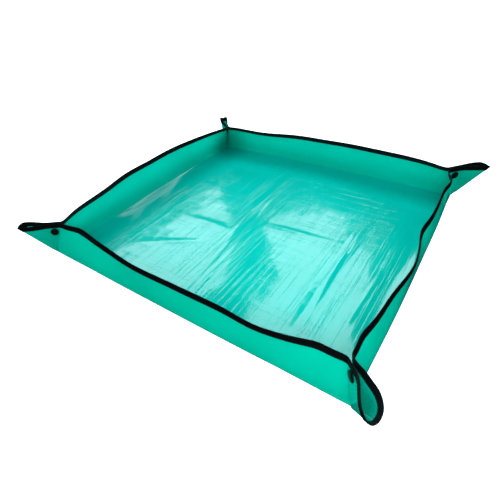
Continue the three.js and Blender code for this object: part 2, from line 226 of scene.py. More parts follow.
# Surfaces of the tape, the thread, the press studs and the studio's floor, in the same units
RIB_NOISE = ((1400, 120), 2)
RIB_HEIGHT = 0.0004
FUZZ_NOISE = ((420, 420), 3)
TAPE_BUMP = 0.5
TAPE_ROUGHNESS = 0.6
TAPE_SHINE = 0.25
THREAD_NOISE = ((900, 900), 3)
THREAD_GRAIN = 0.0003
THREAD_ROUGHNESS = 0.55
PLASTIC_NOISE = ((700, 700), 3)
PLASTIC_GRAIN = 0.0002
PLASTIC_ROUGHNESS = 0.28
GRAIN_BUMP = 0.4
STUDIO_NOISE = ((3, 3), 2)
STUDIO_GLOW = 0.9
STUDIO_ROUGHNESS = 0.9

# Camera: angles in degrees
CAMERA_TARGET = (-34.02, -92.60, 30.0)
CAMERA_AZIMUTH = 38.80
CAMERA_ELEVATION = 34.57
CAMERA_ROLL = -4.81
CAMERA_DISTANCE = 621.66
CAMERA_LENS = 28.374
CAMERA_SENSOR = 36.0
CAMERA_SHIFT = (0.07, -0.04)  # the picture is a part of a wider view, off its middle
CAMERA_NEAR = 10.0

# Two soft windows behind the mat, in one upright plane, with a gap between them: the plane's distance and
# compass angle, and each window's corners as places across the plane and heights, in metres
WINDOW_DISTANCE = 3.0
WINDOW_COMPASS = -35.0  # from +Y
WINDOW_STRENGTH = 4.6
WINDOWS = {
    "left_window": [
        (-1.52, 2.42), (-0.97, 2.13), (-0.5, 1.8), (-0.23, 1.65), (-0.08, 2.1), (-0.38, 2.95),
        (-0.75, 3.3), (-1.6, 3.0),
    ],
    "right_window": [
        (0.3, 1.96), (1.3, 2.1), (1.5, 2.6), (1.55, 4.8), (0.6, 4.6), (-0.1, 4.0),
        (0.05, 3.35), (0.3, 3.15), (0.48, 2.85), (0.37, 2.45),
    ],
}

# Soft lights that don't show in the gloss: place, the point that it faces and size in metres, and watts
COOL_LIGHT = (0.85, 1.0, 1.12)
KEY_SIZE = (1.0, 0.6)
LIGHTS = {
    "front_key": ((-1.0, -1.7, 0.9), (0, 0, 0), KEY_SIZE, 16),
    "right_key": ((1.7, 1.0, 0.9), (0, 0, 0), KEY_SIZE, 22),
    "back_key": ((-1.7, 1.5, 0.6), (0, 0, 0), KEY_SIZE, 40),
    "corner_fill": ((0.42, -0.62, 0.45), (0.25, -0.25, 0), (0.3, 0.2), 3),
    "top_panel": ((0.1, -0.1, 2.2), (0, 0, 0), (1.2, 1.2), 10),
}
WORLD_STRENGTH = 0.38

# The studio's floor, in metres
STUDIO_RADIUS = 9.0
STUDIO_RINGS = 36
STUDIO_SIDES = 48
SWEEP_START = 4.5
SWEEP_STEEPNESS = 0.2

# Sizes that follow from these. A wall is drawn facing +X, with the ear of its +Y end.
HALF_SHEET = SHEET_THICKNESS / 2
FOLD = SHEET_SIDE / 2 - WALL_WIDTH
FOLD_HEIGHT = HALF_SHEET + FOLD_RISE
CREASE_LENGTH = np.hypot(WALL_WIDTH, CREASE_INSET)
BINDING_FOOT = WALL_WIDTH - BINDING_WIDTH
TAPE_SLOT = HALF_SHEET + TAPE_LIFT
TAPE_FACE = TAPE_SLOT + TAPE_THICKNESS
SOCKET_THICKNESS = SOCKET_WEB + STUD_LENGTH
FLAP_INNER_FACE = (FLANGE_THICKNESS + CLEARANCE + SOCKET_THICKNESS) / 2 + CLEARANCE
FLAP_MIDDLE = FLAP_INNER_FACE + HALF_SHEET
SNAP_SEAT = FLAP_INNER_FACE - CLEARANCE
CAP_SEAT = FLAP_MIDDLE + HALF_SHEET + CLEARANCE
CAP_RADIUS = CAP_DIAMETER / 2

# A corner's own directions: away from the mat, across the ear towards this wall's flap, and up
OUTWARD = np.array([1.0, 1.0, 0.0]) / np.sqrt(2)
ACROSS = np.array([1.0, -1.0, 0.0]) / np.sqrt(2)
UP = np.array([0.0, 0.0, 1.0])

# The wall's end, its pinch, and the ear's tip, by bearings in the flat sheet and slopes round the corner
WALL_ANGLE = np.arccos((FLAP_MIDDLE * np.sqrt(2) - CREASE_INSET) / WALL_WIDTH)
CORNER = np.array([FOLD, FOLD, FOLD_HEIGHT])
PINCH = CORNER + [WALL_WIDTH * np.cos(WALL_ANGLE), -CREASE_INSET, WALL_WIDTH * np.sin(WALL_ANGLE)]
CREASE_BEARING = -np.arctan2(CREASE_INSET, WALL_WIDTH)
EAR_BEARING = np.pi / 4 - CREASE_BEARING
CREASE_SLOPE = np.arctan2(PINCH[2] - CORNER[2], (PINCH - CORNER) @ OUTWARD)
TIP_RADIUS = WALL_WIDTH * np.sqrt(2)
TIP_SLOPE = CREASE_SLOPE - EAR_BEARING
TIP = CORNER + TIP_RADIUS * (np.cos(TIP_SLOPE) * OUTWARD + np.sin(TIP_SLOPE) * UP)

# Where a press stud sits on its flap, clear of the binding and of the crease
SNAP_UP = BINDING_FOOT - CAP_MARGIN - CAP_RADIUS
SNAP_ALONG = ((CAP_RADIUS + CAP_MARGIN) * CREASE_LENGTH - SNAP_UP * CREASE_INSET) / WALL_WIDTH
SNAP_RADIUS = np.hypot(SNAP_UP, SNAP_ALONG)
SNAP_BEARING = np.arctan2(SNAP_ALONG, SNAP_UP)
FLAT_UNTIL = (SNAP_BEARING + np.arcsin(CAP_RADIUS / SNAP_RADIUS) - CREASE_BEARING) / EAR_BEARING

# The planes that a wall and a flap lie in when the mat is flat, by their outer normals
WALL_NORMAL = np.array([np.sin(WALL_ANGLE), 0.0, -np.cos(WALL_ANGLE)])
FLAP_NORMAL = np.cross(TIP - CORNER, PINCH - CORNER)
FLAP_NORMAL *= np.sign(FLAP_NORMAL @ ACROSS) / np.linalg.norm(FLAP_NORMAL)


def smoothstep(value, low, high):
    share = np.clip((value - low) / (high - low), 0, 1)
    return share * share * (3 - 2 * share)


def bump(value, middle, half_length):
    return np.exp(-(((value - middle) / half_length) ** 2))


def unit(vector):
    return vector / np.linalg.norm(vector)


def distances(line):
    """The distance along a line of points to each of them."""
    return np.concatenate([[0], np.cumsum(np.linalg.norm(np.diff(line, axis=0), axis=1))])


def placed(points, heading, is_mirrored):
    """Points drawn for a wall facing +X, set at that wall's heading, for its +Y end or the mirrored one."""
    turn = np.radians(heading)
    points = np.array(points, float)
    if is_mirrored:
        points[..., 1] *= -1
    x, y = points[..., 0].copy(), points[..., 1].copy()
    points[..., 0] = np.cos(turn) * x - np.sin(turn) * y
    points[..., 1] = np.sin(turn) * x + np.cos(turn) * y
    return points


def inside_folds(x, y):
    """How far a place of the flat sheet lies inside the floor's folds."""
    return FOLD - np.maximum(np.abs(x), np.abs(y))


def pillows(x, y):
    """The floor swells a little between the folds that it was packed along."""
    lines_x = [-FOLD, PACK_FOLDS[0][0][0], PACK_FOLDS[1][0][0], FOLD]
    lines_y = [-FOLD, RIDGES[0][0][1], FOLD]
    height = np.zeros_like(x)
    for left, right in zip(lines_x, lines_x[1:]):
        for near, far in zip(lines_y, lines_y[1:]):
            across = np.sin(np.pi * np.clip((x - left) / (right - left), 0, 1))
            along = np.sin(np.pi * np.clip((y - near) / (far - near), 0, 1))
            height += PILLOW_HEIGHT * (across * along) ** 2
    return height


def ridge(x, y, start, end, half_width):
    """A ridge of height one between two points, fading out at both."""
    along = np.subtract(end, start)
    length = np.linalg.norm(along)
    along = along / length
    forward = (x - start[0]) * along[0] + (y - start[1]) * along[1]
    sideways = (y - start[1]) * along[0] - (x - start[0]) * along[1]
    return bump(sideways, 0, half_width) * bump(forward, length / 2, length / 2)


def wrinkles(x, y):
    """Narrow wrinkles beside the packing folds, and single ridges."""
    chance = np.random.default_rng(WRINKLE_SEED)
    height = np.zeros_like(x)
    for start, end, count in PACK_FOLDS:
        run = np.subtract(end, start)
        for _ in range(count):
            middle = np.add(start, run * chance.uniform(*WRINKLE_PLACES))
            aside = chance.normal(0, PACK_FOLD_SPREAD)
            half = unit(run) * chance.uniform(*WRINKLE_HALF_LENGTH)
            near = middle - half + [aside, 0]
            far = middle + half + [aside + chance.normal(0, WRINKLE_SKEW), 0]
            rise = WRINKLE_HEIGHT * chance.uniform(*WRINKLE_HEIGHT_SHARES)
            half_width = WRINKLE_HALF_WIDTH * chance.uniform(*WRINKLE_WIDTH_SHARES)
            height += rise * ridge(x, y, near, far, half_width)
    for start, end, half_width, rise in RIDGES:
        height += rise * ridge(x, y, start, end, half_width)
    return height


def fold_wear(x, y):
    """How worn the floor is: 1 on a packing fold, fading out to its sides and past its ends."""
    wear = np.zeros_like(x)
    for start, end, _ in PACK_FOLDS:
        wear = np.maximum(wear, ridge(x, y, start, end, WORN_HALF_WIDTH))
    return wear


def painted_fold_shade(x, y):
    """How much painted shade darkens the colour along the folds of the left and the back wall."""

    def beside_fold(above):
        return smoothstep(above, *PAINTED_SHADE_ON_FLOOR) * (1 - smoothstep(above, *PAINTED_SHADE_ON_WALL))

    left = PAINTED_SHADE_LEFT * beside_fold(-x - FOLD)
    back = PAINTED_SHADE_BACK * beside_fold(y - FOLD)
    return 1 - (1 - left) * (1 - back)


def weave_shows(x, y):
    """How clearly the weave's lines stand out: fully on the open floor, less at its edges and the walls."""
    return WEAVE_ON_WALLS + (1 - WEAVE_ON_WALLS) * smoothstep(inside_folds(x, y), *WEAVE_FADE)


def floor_points(x, y):
    """The floor: it turns up to the folds all round, and swells and wrinkles inside them."""

    def ramp(distance):
        return np.maximum(0, (np.abs(distance) - (FOLD - FLOOR_RAMP)) / FLOOR_RAMP) ** 2

    rise = 1 - (1 - ramp(x)) * (1 - ramp(y))
    inside = smoothstep(inside_folds(x, y), 0, FLOOR_EASE)
    height = HALF_SHEET + FOLD_RISE * rise + inside * (pillows(x, y) + wrinkles(x, y))
    return np.stack([x, y, height], -1)


def ear_spread(radius):
    return smoothstep(radius, 0, EAR_FOOT_SPREAD)


def dents(along, up):
    """Small uneven dents, for a sheet that was folded and handled."""
    height, length_along, length_up, start = SHORT_DENTS
    short = height * np.sin(along / length_along + start) * np.sin(up / length_up)
    height, length_along, length_up, start = LONG_DENTS
    return short + height * np.sin(along / length_along + up / length_up + start)


def bent_share(rise, to_knee, from_knee):
    """The share along a wall's bent section for a share of its width, so that even steps stay even."""
    root = np.sqrt(to_knee**2 + (from_knee**2 - to_knee**2) * rise)
    return (to_knee + from_knee) * rise / (to_knee + root)


def wall_points(name, lean, along, up):
    """A wall that faces +X: along runs from -1 to 1 between its creases, up is the way from the fold."""
    rise = up / WALL_WIDTH
    ones = np.ones_like(along)
    foot = np.stack([FOLD * ones, along * FOLD, FOLD_HEIGHT * ones], -1)
    slope = np.radians(lean)
    middle_rim = np.array([FOLD + WALL_WIDTH * np.cos(slope), 0, FOLD_HEIGHT + WALL_WIDTH * np.sin(slope)])
    rim = PINCH + (middle_rim - PINCH) * (1 - along**2)[..., None]
    rim[..., 1] = along * PINCH[1]
    straight = (foot + rim) / 2
    foot_slope = np.arctan2(2 * FOLD_RISE, FLOOR_RAMP)
    knee_out = FOLD + FOOT_REACH * np.cos(foot_slope)
    knee_height = FOLD_HEIGHT + FOOT_REACH * np.sin(foot_slope)
    turned_out = np.stack([knee_out * ones, straight[..., 1], knee_height * ones], -1)
    knee = straight + (turned_out - straight) * (1 - along**FOOT_FADE)[..., None]
    to_knee = np.linalg.norm(knee - foot, axis=-1)
    from_knee = np.linalg.norm(rim - knee, axis=-1)
    share = bent_share(rise, to_knee, from_knee)[..., None]
    points = foot * (1 - share) ** 2 + knee * 2 * share * (1 - share) + rim * share**2
    crease_bend = FLAP_MIDDLE * (ear_spread(rise * CREASE_LENGTH) - rise) * along**CREASE_FADE
    points[..., 0] += crease_bend * ACROSS[0]
    return points + wall_push(name, along, up)[..., None] * WALL_NORMAL


def wall_push(name, along, up):
    """How far a wall is pushed out of its even shape: rim waves, dents, and the turn into the ears."""
    share = up / WALL_WIDTH
    half_length = FOLD - CREASE_INSET * share
    place = along * half_length
    from_crease = (1 - np.abs(along)) * half_length
    waves = sum(push * bump(place, middle, length) for middle, length, push in RIM_WAVES[name])
    reach = CREASE_SOFTNESS[0] + CREASE_SOFTNESS[1] * share
    turn_in = CREASE_ROUNDING * share * from_crease * np.exp(-from_crease / reach)
    fade = smoothstep(from_crease, 0, WAVE_EASE)
    return fade * (waves * share**RIM_WAVE_POWER + dents(place, up) * share) - turn_in


def corner_reach(bearing):
    """The share of the way to a square sheet's edge that the rounded corner leaves, by bearing."""
    arc_centre = WALL_WIDTH - CORNER_ROUNDING
    to_centre = arc_centre * (np.cos(bearing) + np.sin(bearing))
    beside_centre = arc_centre * (np.cos(bearing) - np.sin(bearing))
    to_edge = to_centre + np.sqrt(np.maximum(0, CORNER_ROUNDING**2 - beside_centre**2))
    is_rounded = WALL_WIDTH * np.tan(bearing) > arc_centre
    return np.where(is_rounded, to_edge * np.cos(bearing) / WALL_WIDTH, 1.0)


def flap_points(turn, up, half_width, tip_lean, curl):
    """The ear flap at a wall's +Y end: turn runs from 0 at the crease to 1 at the ear's outer fold."""
    bearing = CREASE_BEARING + turn * EAR_BEARING
    radius = up / np.cos(bearing) * corner_reach(bearing)
    slope = CREASE_SLOPE - turn * EAR_BEARING
    closing = np.maximum(0, (turn - EAR_ROUND_START) / (1 - EAR_ROUND_START))
    swell = smoothstep(turn, FLAT_UNTIL, EAR_ROUND_START)
    opening = FLAP_MIDDLE * ear_spread(radius) + (half_width - FLAP_MIDDLE) * swell * radius / TIP_RADIUS
    opening = opening * np.sqrt(np.maximum(0, 1 - closing**2))
    leaning = np.maximum(0, (turn - FLAT_UNTIL) / (1 - FLAT_UNTIL)) ** EAR_LEAN_ONSET
    across = opening + tip_lean * leaning * radius / TIP_RADIUS
    turned_out = curl * smoothstep(up / WALL_WIDTH, *EAR_CURL_UP) ** EAR_CURL_POWER
    turned_out = turned_out * smoothstep(turn, *EAR_CURL_START) * (1 - smoothstep(turn, *EAR_CURL_END))
    away = (radius * np.cos(slope))[..., None] * OUTWARD
    points = CORNER + away + (radius * np.sin(slope))[..., None] * UP
    return points + across[..., None] * ACROSS + turned_out[..., None] * FLAP_NORMAL


@dataclass
class Patch:
    """One panel of the sheet between folds, on a grid that runs from its fold to the sheet's edge."""

    name: str
    body: str
    node: str
    points: np.ndarray
    flat: np.ndarray
    outward: np.ndarray
    anchor: np.ndarray
    flat_size: tuple
    flat_area: float
    normals: np.ndarray = None


steps = int(round(2 * FOLD / SPACING))
rows_up = int(round(BINDING_FOOT / SPACING))
along_stations = np.linspace(-1, 1, steps + 1)
up_stations = np.concatenate(
    [np.linspace(0, BINDING_FOOT, rows_up + 1), np.linspace(BINDING_FOOT, WALL_WIDTH, BINDING_ROWS + 1)[1:]]
)
closing_stations = np.sin(np.linspace(0, np.pi / 2, FLAP_ROUND_COLUMNS + 1)[1:])
turn_stations = np.concatenate(
    [
        np.linspace(0, EAR_ROUND_START, FLAP_COLUMNS + 1),
        EAR_ROUND_START + (1 - EAR_ROUND_START) * closing_stations,
    ]
)


def floor_patch():
    y, x = np.meshgrid(along_stations * FOLD, along_stations * FOLD, indexing="ij")
    return Patch(
        name="floor_sheet",
        body="floor",
        node="floor_panel",
        points=floor_points(x, y),
        flat=np.stack([x, y], -1),
        outward=-UP,
        anchor=np.zeros(3),
        flat_size=(2 * FOLD, 2 * FOLD),
        flat_area=(2 * FOLD) ** 2,
    )


def wall_patch(name, heading, lean):
    up, along = np.meshgrid(up_stations, along_stations, indexing="ij")
    flat = np.stack([FOLD + up, along * (FOLD - CREASE_INSET * up / WALL_WIDTH)], -1)
    return Patch(
        name=f"{name}_wall_sheet",
        body=f"{name}_wall",
        node=f"{name}_wall_panel",
        points=placed(wall_points(name, lean, along, up), heading, False),
        flat=placed(flat, heading, False),
        outward=placed(WALL_NORMAL, heading, False),
        anchor=placed([FOLD, 0, FOLD_HEIGHT], heading, False),
        flat_size=(2 * FOLD, WALL_WIDTH),
        flat_area=(2 * FOLD - CREASE_INSET) * WALL_WIDTH,
    )


def flap_patch(wall, heading, corner, half_width, tip_lean, is_mirrored):
    up, turn = np.meshgrid(up_stations, turn_stations, indexing="ij")
    bearing = CREASE_BEARING + turn * EAR_BEARING
    rounded_up = up * corner_reach(bearing)
    flat = np.stack([FOLD + rounded_up, FOLD + rounded_up * np.tan(bearing)], -1)
    tip_lean = -tip_lean if is_mirrored else tip_lean
    curl = EAR_CURL if (corner, wall) == ("front_right", "right") else 0.0
    body = f"{corner}_ear_{wall}"
    cut_corner = (1 - np.pi / 4) * CORNER_ROUNDING**2
    return Patch(
        name=f"{body}_sheet",
        body=body,
        node=f"{body}_flap",
        points=placed(flap_points(turn, up, half_width, tip_lean, curl), heading, is_mirrored),
        flat=placed(flat, heading, is_mirrored),
        outward=placed(FLAP_NORMAL, heading, is_mirrored),
        anchor=placed(CORNER, heading, is_mirrored),
        flat_size=(WALL_WIDTH + CREASE_INSET, WALL_WIDTH),
        flat_area=((WALL_WIDTH + CREASE_INSET) * WALL_WIDTH - cut_corner) / 2,
    )


def all_patches():
    patches = [floor_patch()]
    for i, (name, heading, lean) in enumerate(WALLS):
        patches.append(wall_patch(name, heading, lean))
        patches.append(flap_patch(name, heading, *CORNERS[i], False))
        patches.append(flap_patch(name, heading, *CORNERS[i - 1], True))
    return patches


def merged(points):
    """Points at one place become one: the first of each, and the number that each point goes by."""
    keys = np.round(points * MERGE_STEPS).astype(int)
    _, first, ids = np.unique(keys, axis=0, return_index=True, return_inverse=True)
    return first, ids.reshape(-1)


def grid_quads(ids):
    return np.stack([ids[:-1, :-1], ids[:-1, 1:], ids[1:, 1:], ids[1:, :-1]], -1).reshape(-1, 4)


def grid_faces(patch, ids):
    """The patch's faces by vertex number, and their normals, facing the mat's outside."""
    quads = grid_quads(ids)
    p = patch.points
    normals = np.cross(p[1:, 1:] - p[:-1, :-1], p[1:, :-1] - p[:-1, 1:]).reshape(-1, 3)
    if (normals @ patch.outward).sum() < 0:
        return quads[:, ::-1], -normals
    return quads, normals


def set_normals(patches):
    """Gives each patch the normals of the whole sheet, so that no seam shows between two panels."""
    _, shared = merged(np.concatenate([patch.points.reshape(-1, 3) for patch in patches]))
    ends = np.cumsum([patch.points[..., 0].size for patch in patches])
    numbers = np.split(shared, ends[:-1])
    grids = [ids.reshape(patch.points.shape[:2]) for ids, patch in zip(numbers, patches)]
    total = np.zeros((shared.max() + 1, 3))
    for patch, ids in zip(patches, grids):
        quads, normals = grid_faces(patch, ids)
        for k in range(4):
            np.add.at(total, quads[:, k], normals)
    total /= np.linalg.norm(total, axis=1, keepdims=True)
    for patch, ids in zip(patches, grids):
        patch.normals = total[ids]


def new_object(name, points, faces, materials):
    mesh = bpy.data.meshes.new(name)
    mesh.from_pydata((np.asarray(points) * MM).tolist(), [], faces)
    for material in materials:
        mesh.materials.append(material)
    mesh.polygons.foreach_set("use_smooth", [True] * len(mesh.polygons))
    mesh.update()
    piece = bpy.data.objects.new(name, mesh)
    bpy.context.scene.collection.objects.link(piece)
    return piece


def shell_faces(outer, count):
    """A shell's other faces: those of its second layer of points, and of the rim that joins the layers."""
    inner = [tuple(v + count for v in reversed(face)) for face in outer]
    edges = {(a, b) for face in outer for a, b in zip(face, face[1:] + face[:1])}
    rim = [(b, a, a + count, b + count) for a, b in sorted(edges) if (b, a) not in edges]
    return inner, rim


def set_uv(mesh, name, flat, loops):
    """A UV map in metres, the same on both layers of a shell."""
    uv = mesh.uv_layers.new(name=name)
    uv.data.foreach_set("uv", (flat[loops % len(flat)] * MM).ravel())


def sheet_piece(patch, outer_material, inner_material):
    """The panel as a closed sheet of its real thickness, with its place in the flat sheet as its UV map."""
    first, ids = merged(patch.points.reshape(-1, 3))
    middle = patch.points.reshape(-1, 3)[first]
    normals = patch.normals.reshape(-1, 3)[first]
    flat = patch.flat.reshape(-1, 2)[first]
    quads, _ = grid_faces(patch, ids.reshape(patch.points.shape[:2]))
    outer = [tuple(dict.fromkeys(quad)) for quad in quads.tolist()]
    inner, rim = shell_faces(outer, len(middle))
    faces = outer + inner + rim
    points = np.concatenate([middle + normals * HALF_SHEET, middle - normals * HALF_SHEET])
    piece = new_object(patch.name, points, faces, [outer_material, inner_material])
    mesh = piece.data
    mesh.polygons.foreach_set("material_index", [0] * len(outer) + [1] * len(inner) + [0] * len(rim))
    for pattern in (fold_wear, painted_fold_shade, weave_shows):
        values = mesh.attributes.new(pattern.__name__, "FLOAT", "POINT")
        values.data.foreach_set("value", np.tile(pattern(*flat.T), 2))
    loops = np.array([v for face in faces for v in face])
    set_uv(mesh, "flat_sheet", flat, loops)
    loop_normals = np.concatenate([normals, -normals])[loops]
    rim_corners = points[np.array(rim)]
    rim_normals = np.cross(rim_corners[:, 2] - rim_corners[:, 0], rim_corners[:, 3] - rim_corners[:, 1])
    rim_normals /= np.linalg.norm(rim_normals, axis=1, keepdims=True)
    loop_normals[-4 * len(rim) :] = np.repeat(rim_normals, 4, axis=0)
    mesh.normals_split_custom_set(loop_normals.tolist())
    return piece


def tape_skin(patch, offset):
    """The tape folded over the panel's edge, at one distance from the sheet's middle, row by row."""
    points = patch.points[-BINDING_ROWS - 1 :]
    normals = patch.normals[-BINDING_ROWS - 1 :]
    beyond = points[-1] - points[-2]
    beyond -= (beyond * normals[-1]).sum(-1, keepdims=True) * normals[-1]
    beyond /= np.linalg.norm(beyond, axis=-1, keepdims=True)
    outside = points + normals * offset
    inside = (points - normals * offset)[::-1]
    fold = [
        points[-1] + offset * (np.cos(turn) * beyond + np.sin(turn) * normals[-1])
        for turn in np.radians(TAPE_FOLD_TURNS)
    ]
    return np.concatenate([outside, fold, inside])


def binding_piece(patch, name, material):
    """The tape as a closed shell, with the distances along and across it as its UV map."""
    skin = tape_skin(patch, TAPE_FACE)
    under = tape_skin(patch, TAPE_SLOT)
    points = np.concatenate([skin.reshape(-1, 3), under.reshape(-1, 3)])
    layer = len(points) // 2
    quads = grid_quads(np.arange(layer).reshape(skin.shape[:2]))
    normal = np.cross(skin[1, 1] - skin[0, 0], skin[1, 0] - skin[0, 1])
    if normal @ patch.normals[-1, 0] < 0:
        quads = quads[:, ::-1]
    outer = [tuple(quad) for quad in quads.tolist()]
    inner, rim = shell_faces(outer, layer)
    faces = outer + inner + rim
    piece = new_object(name, points, faces, [material])
    along = distances(patch.points[-1])
    across = distances(skin[:, 0])
    flat = np.stack(np.broadcast_arrays(along[None, :], across[:, None]), -1).reshape(-1, 2)
    set_uv(piece.data, "along_tape", flat, np.array([v for face in faces for v in face]))
    piece.data.set_sharp_from_angle(angle=np.radians(TAPE_SHARP_ANGLE))
    return piece


def stitch_piece(patch, name, material):
    """A row of stitches along the tape's inner edge, on both faces."""
    row = len(patch.points) - BINDING_ROWS - 1
    share = STITCH_INSET / (BINDING_WIDTH / BINDING_ROWS)
    line = patch.points[row] * (1 - share) + patch.points[row + 1] * share
    normals = patch.normals[row] * (1 - share) + patch.normals[row + 1] * share
    length = distances(line)
    count = int(length[-1] / STITCH_PITCH)
    middles = (np.arange(count) + 0.5) * length[-1] / count
    turns = np.arange(STITCH_SIDES) * 2 * np.pi / STITCH_SIDES

    def at(place, values):
        return np.array([np.interp(place, length, values[:, k]) for k in range(3)])

    points = []
    faces = []
    for side in (1, -1):
        for middle in middles:
            here = at(middle, line)
            out = unit(side * at(middle, normals))
            forward = unit(at(middle + 1, line) - at(middle - 1, line))
            sideways = np.cross(forward, out)
            first = len(points)
            for place, width, height in STITCH_PROFILE:
                centre = here + forward * place * STITCH_LENGTH + out * (TAPE_FACE + height * STITCH_RADIUS)
                for turn in turns:
                    ring = np.cos(turn) * sideways + np.sin(turn) * out
                    points.append(centre + ring * width * STITCH_RADIUS)
            last = len(points) - STITCH_SIDES
            for ring in range(first, last, STITCH_SIDES):
                for k in range(STITCH_SIDES):
                    a = ring + k
                    b = ring + (k + 1) % STITCH_SIDES
                    faces.append((a, a + STITCH_SIDES, b + STITCH_SIDES, b))
            faces.append(tuple(range(first, first + STITCH_SIDES)))
            faces.append(tuple(reversed(range(last, last + STITCH_SIDES))))
    return new_object(name, points, faces, [material])


def turned_piece(name, profile, heading, is_mirrored, material):
    """A piece turned about the press stud's axis, from its radius at each level."""
    points = []
    faces = []
    turns = np.arange(TURNED_STEPS) * 2 * np.pi / TURNED_STEPS
    rings = []
    for radius, level in profile:
        if radius == 0:
            rings.append([len(points)] * TURNED_STEPS)
            points.append((0, 0, level))
            continue
        rings.append(list(range(len(points), len(points) + TURNED_STEPS)))
        points += [(radius * np.cos(turn), radius * np.sin(turn), level) for turn in turns]
    for low, high in zip(rings, rings[1:]):
        for k in range(TURNED_STEPS):
            after = (k + 1) % TURNED_STEPS
            faces.append(tuple(dict.fromkeys((low[k], low[after], high[after], high[k]))))
    slope = CREASE_SLOPE - (SNAP_BEARING - CREASE_BEARING)
    centre = CORNER + SNAP_RADIUS * (np.cos(slope) * OUTWARD + np.sin(slope) * UP)
    axes = np.stack([np.cross(UP, ACROSS), UP, ACROSS])
    world = placed(centre + np.array(points) @ axes, heading, is_mirrored)
    if (np.linalg.det(axes) < 0) != is_mirrored:
        faces = [tuple(reversed(face)) for face in faces]
    piece = new_object(name, world, faces, [material])
    piece.data.set_sharp_from_angle(angle=np.radians(TURNED_SHARP_ANGLE))
    return piece


def rounded(profile):
    """A turned profile with its corners rounded off, apart from its two ends."""
    smooth = [profile[0]]
    for before, here, after in zip(profile, profile[1:], profile[2:]):
        here = np.array(here, float)
        to_before = np.array(before) - here
        to_after = np.array(after) - here
        cut_before = min(MOULDED_EDGE, MOULDED_EDGE_LIMIT * np.linalg.norm(to_before))
        cut_after = min(MOULDED_EDGE, MOULDED_EDGE_LIMIT * np.linalg.norm(to_after))
        start = here + unit(to_before) * cut_before
        end = here + unit(to_after) * cut_after
        for share in MOULDED_EDGE_STEPS:
            smooth.append(tuple(start * (1 - share) ** 2 + 2 * here * share * (1 - share) + end * share**2))
    return smooth + [profile[-1]]


def cap_profile(post_end):
    post = POST_DIAMETER / 2
    dome_foot = CAP_SEAT + CAP_EDGE
    dome = CAP_HEIGHT - CAP_EDGE
    edge = [
        (0, post_end), (post, post_end), (post, CAP_SEAT), (CAP_RADIUS, CAP_SEAT), (CAP_RADIUS, dome_foot),
    ]
    top = [
        (CAP_RADIUS * np.cos(turn), dome_foot + dome * np.sin(turn))
        for turn in np.linspace(0, np.pi / 2, CAP_DOME_STEPS)[1:-1]
    ]
    return rounded(edge + top[:1]) + top[1:] + [(0, CAP_SEAT + CAP_HEIGHT)]


def stud_profile():
    flange_face = SNAP_SEAT - FLANGE_THICKNESS
    end = flange_face - STUD_LENGTH
    stud = STUD_DIAMETER / 2
    flange = FLANGE_DIAMETER / 2
    bore = POST_DIAMETER / 2 + CLEARANCE
    bore_end = SNAP_SEAT - POST_REACH - CLEARANCE
    return rounded(
        [
            (0, end), (stud - STUD_NECK, end), (stud, end + STUD_HEAD), (stud - STUD_NECK, flange_face),
            (flange, flange_face), (flange, SNAP_SEAT), (bore, SNAP_SEAT), (bore, bore_end), (0, bore_end),
        ]
    )


def socket_profile():
    face = SNAP_SEAT - SOCKET_THICKNESS
    recess_end = SNAP_SEAT - SOCKET_WEB
    recess = STUD_DIAMETER / 2 + CLEARANCE
    recess_middle = (recess, (face + recess_end) / 2)
    flange = FLANGE_DIAMETER / 2
    bore = POST_DIAMETER / 2 + CLEARANCE
    return rounded(
        [
            recess_middle, (recess, face), (flange, face), (flange, SNAP_SEAT),
            (bore, SNAP_SEAT), (bore, recess_end), (recess, recess_end), recess_middle,
        ]
    )


def new_material(name):
    material = bpy.data.materials.new(name)
    material.use_nodes = True
    return material, material.node_tree.nodes["Principled BSDF"]


def feed(material, shader_node, inputs):
    """Gives each of a node's inputs its value, or another node's output to follow."""
    for name, value in inputs.items():
        if isinstance(value, bpy.types.NodeSocket):
            material.node_tree.links.new(value, shader_node.inputs[name])
        else:
            shader_node.inputs[name].default_value = value


def node(material, kind, inputs, **settings):
    made = material.node_tree.nodes.new(kind)
    for name, value in settings.items():
        setattr(made, name, value)
    feed(material, made, inputs)
    return made


def uv_place(material, name):
    return node(material, "ShaderNodeUVMap", {}, uv_map=name).outputs["UV"]


def object_place(material):
    return node(material, "ShaderNodeTexCoord", {}).outputs["Object"]


def pattern_value(material, pattern):
    return node(material, "ShaderNodeAttribute", {}, attribute_name=pattern.__name__).outputs["Fac"]


def noise_value(material, place, noise):
    """Noise with its number of features per metre each way, and its detail."""
    features, detail = noise
    mapping = node(material, "ShaderNodeMapping", {"Vector": place, "Scale": (*features, 1)})
    inputs = {"Vector": mapping.outputs["Vector"], "Scale": 1, "Detail": detail}
    return node(material, "ShaderNodeTexNoise", inputs).outputs["Fac"]


def ranged(material, value, old_range, new_range, interpolation="LINEAR"):
    """A value carried over from one range to another."""
    inputs = {
        "Value": value,
        "From Min": old_range[0],
        "From Max": old_range[1],
        "To Min": new_range[0],
        "To Max": new_range[1],
    }
    return node(material, "ShaderNodeMapRange", inputs, interpolation_type=interpolation).outputs["Result"]


def thin_lines(material, place, noise, height):
    """Thin raised lines along one direction of the sheet, from the crests of a drawn-out noise."""
    return ranged(material, noise_value(material, place, noise), LINE_CRESTS, (0, height), "SMOOTHSTEP")


def computed(material, operation, *values):
    return node(material, "ShaderNodeMath", dict(enumerate(values)), operation=operation).outputs[0]


def bumped(material, height, distance, strength, **under):
    """The normal of a surface with a fine relief, on top of the one under it if there is one."""
    inputs = {"Height": height, "Distance": distance, "Strength": strength, **under}
    return node(material, "ShaderNodeBump", inputs).outputs["Normal"]


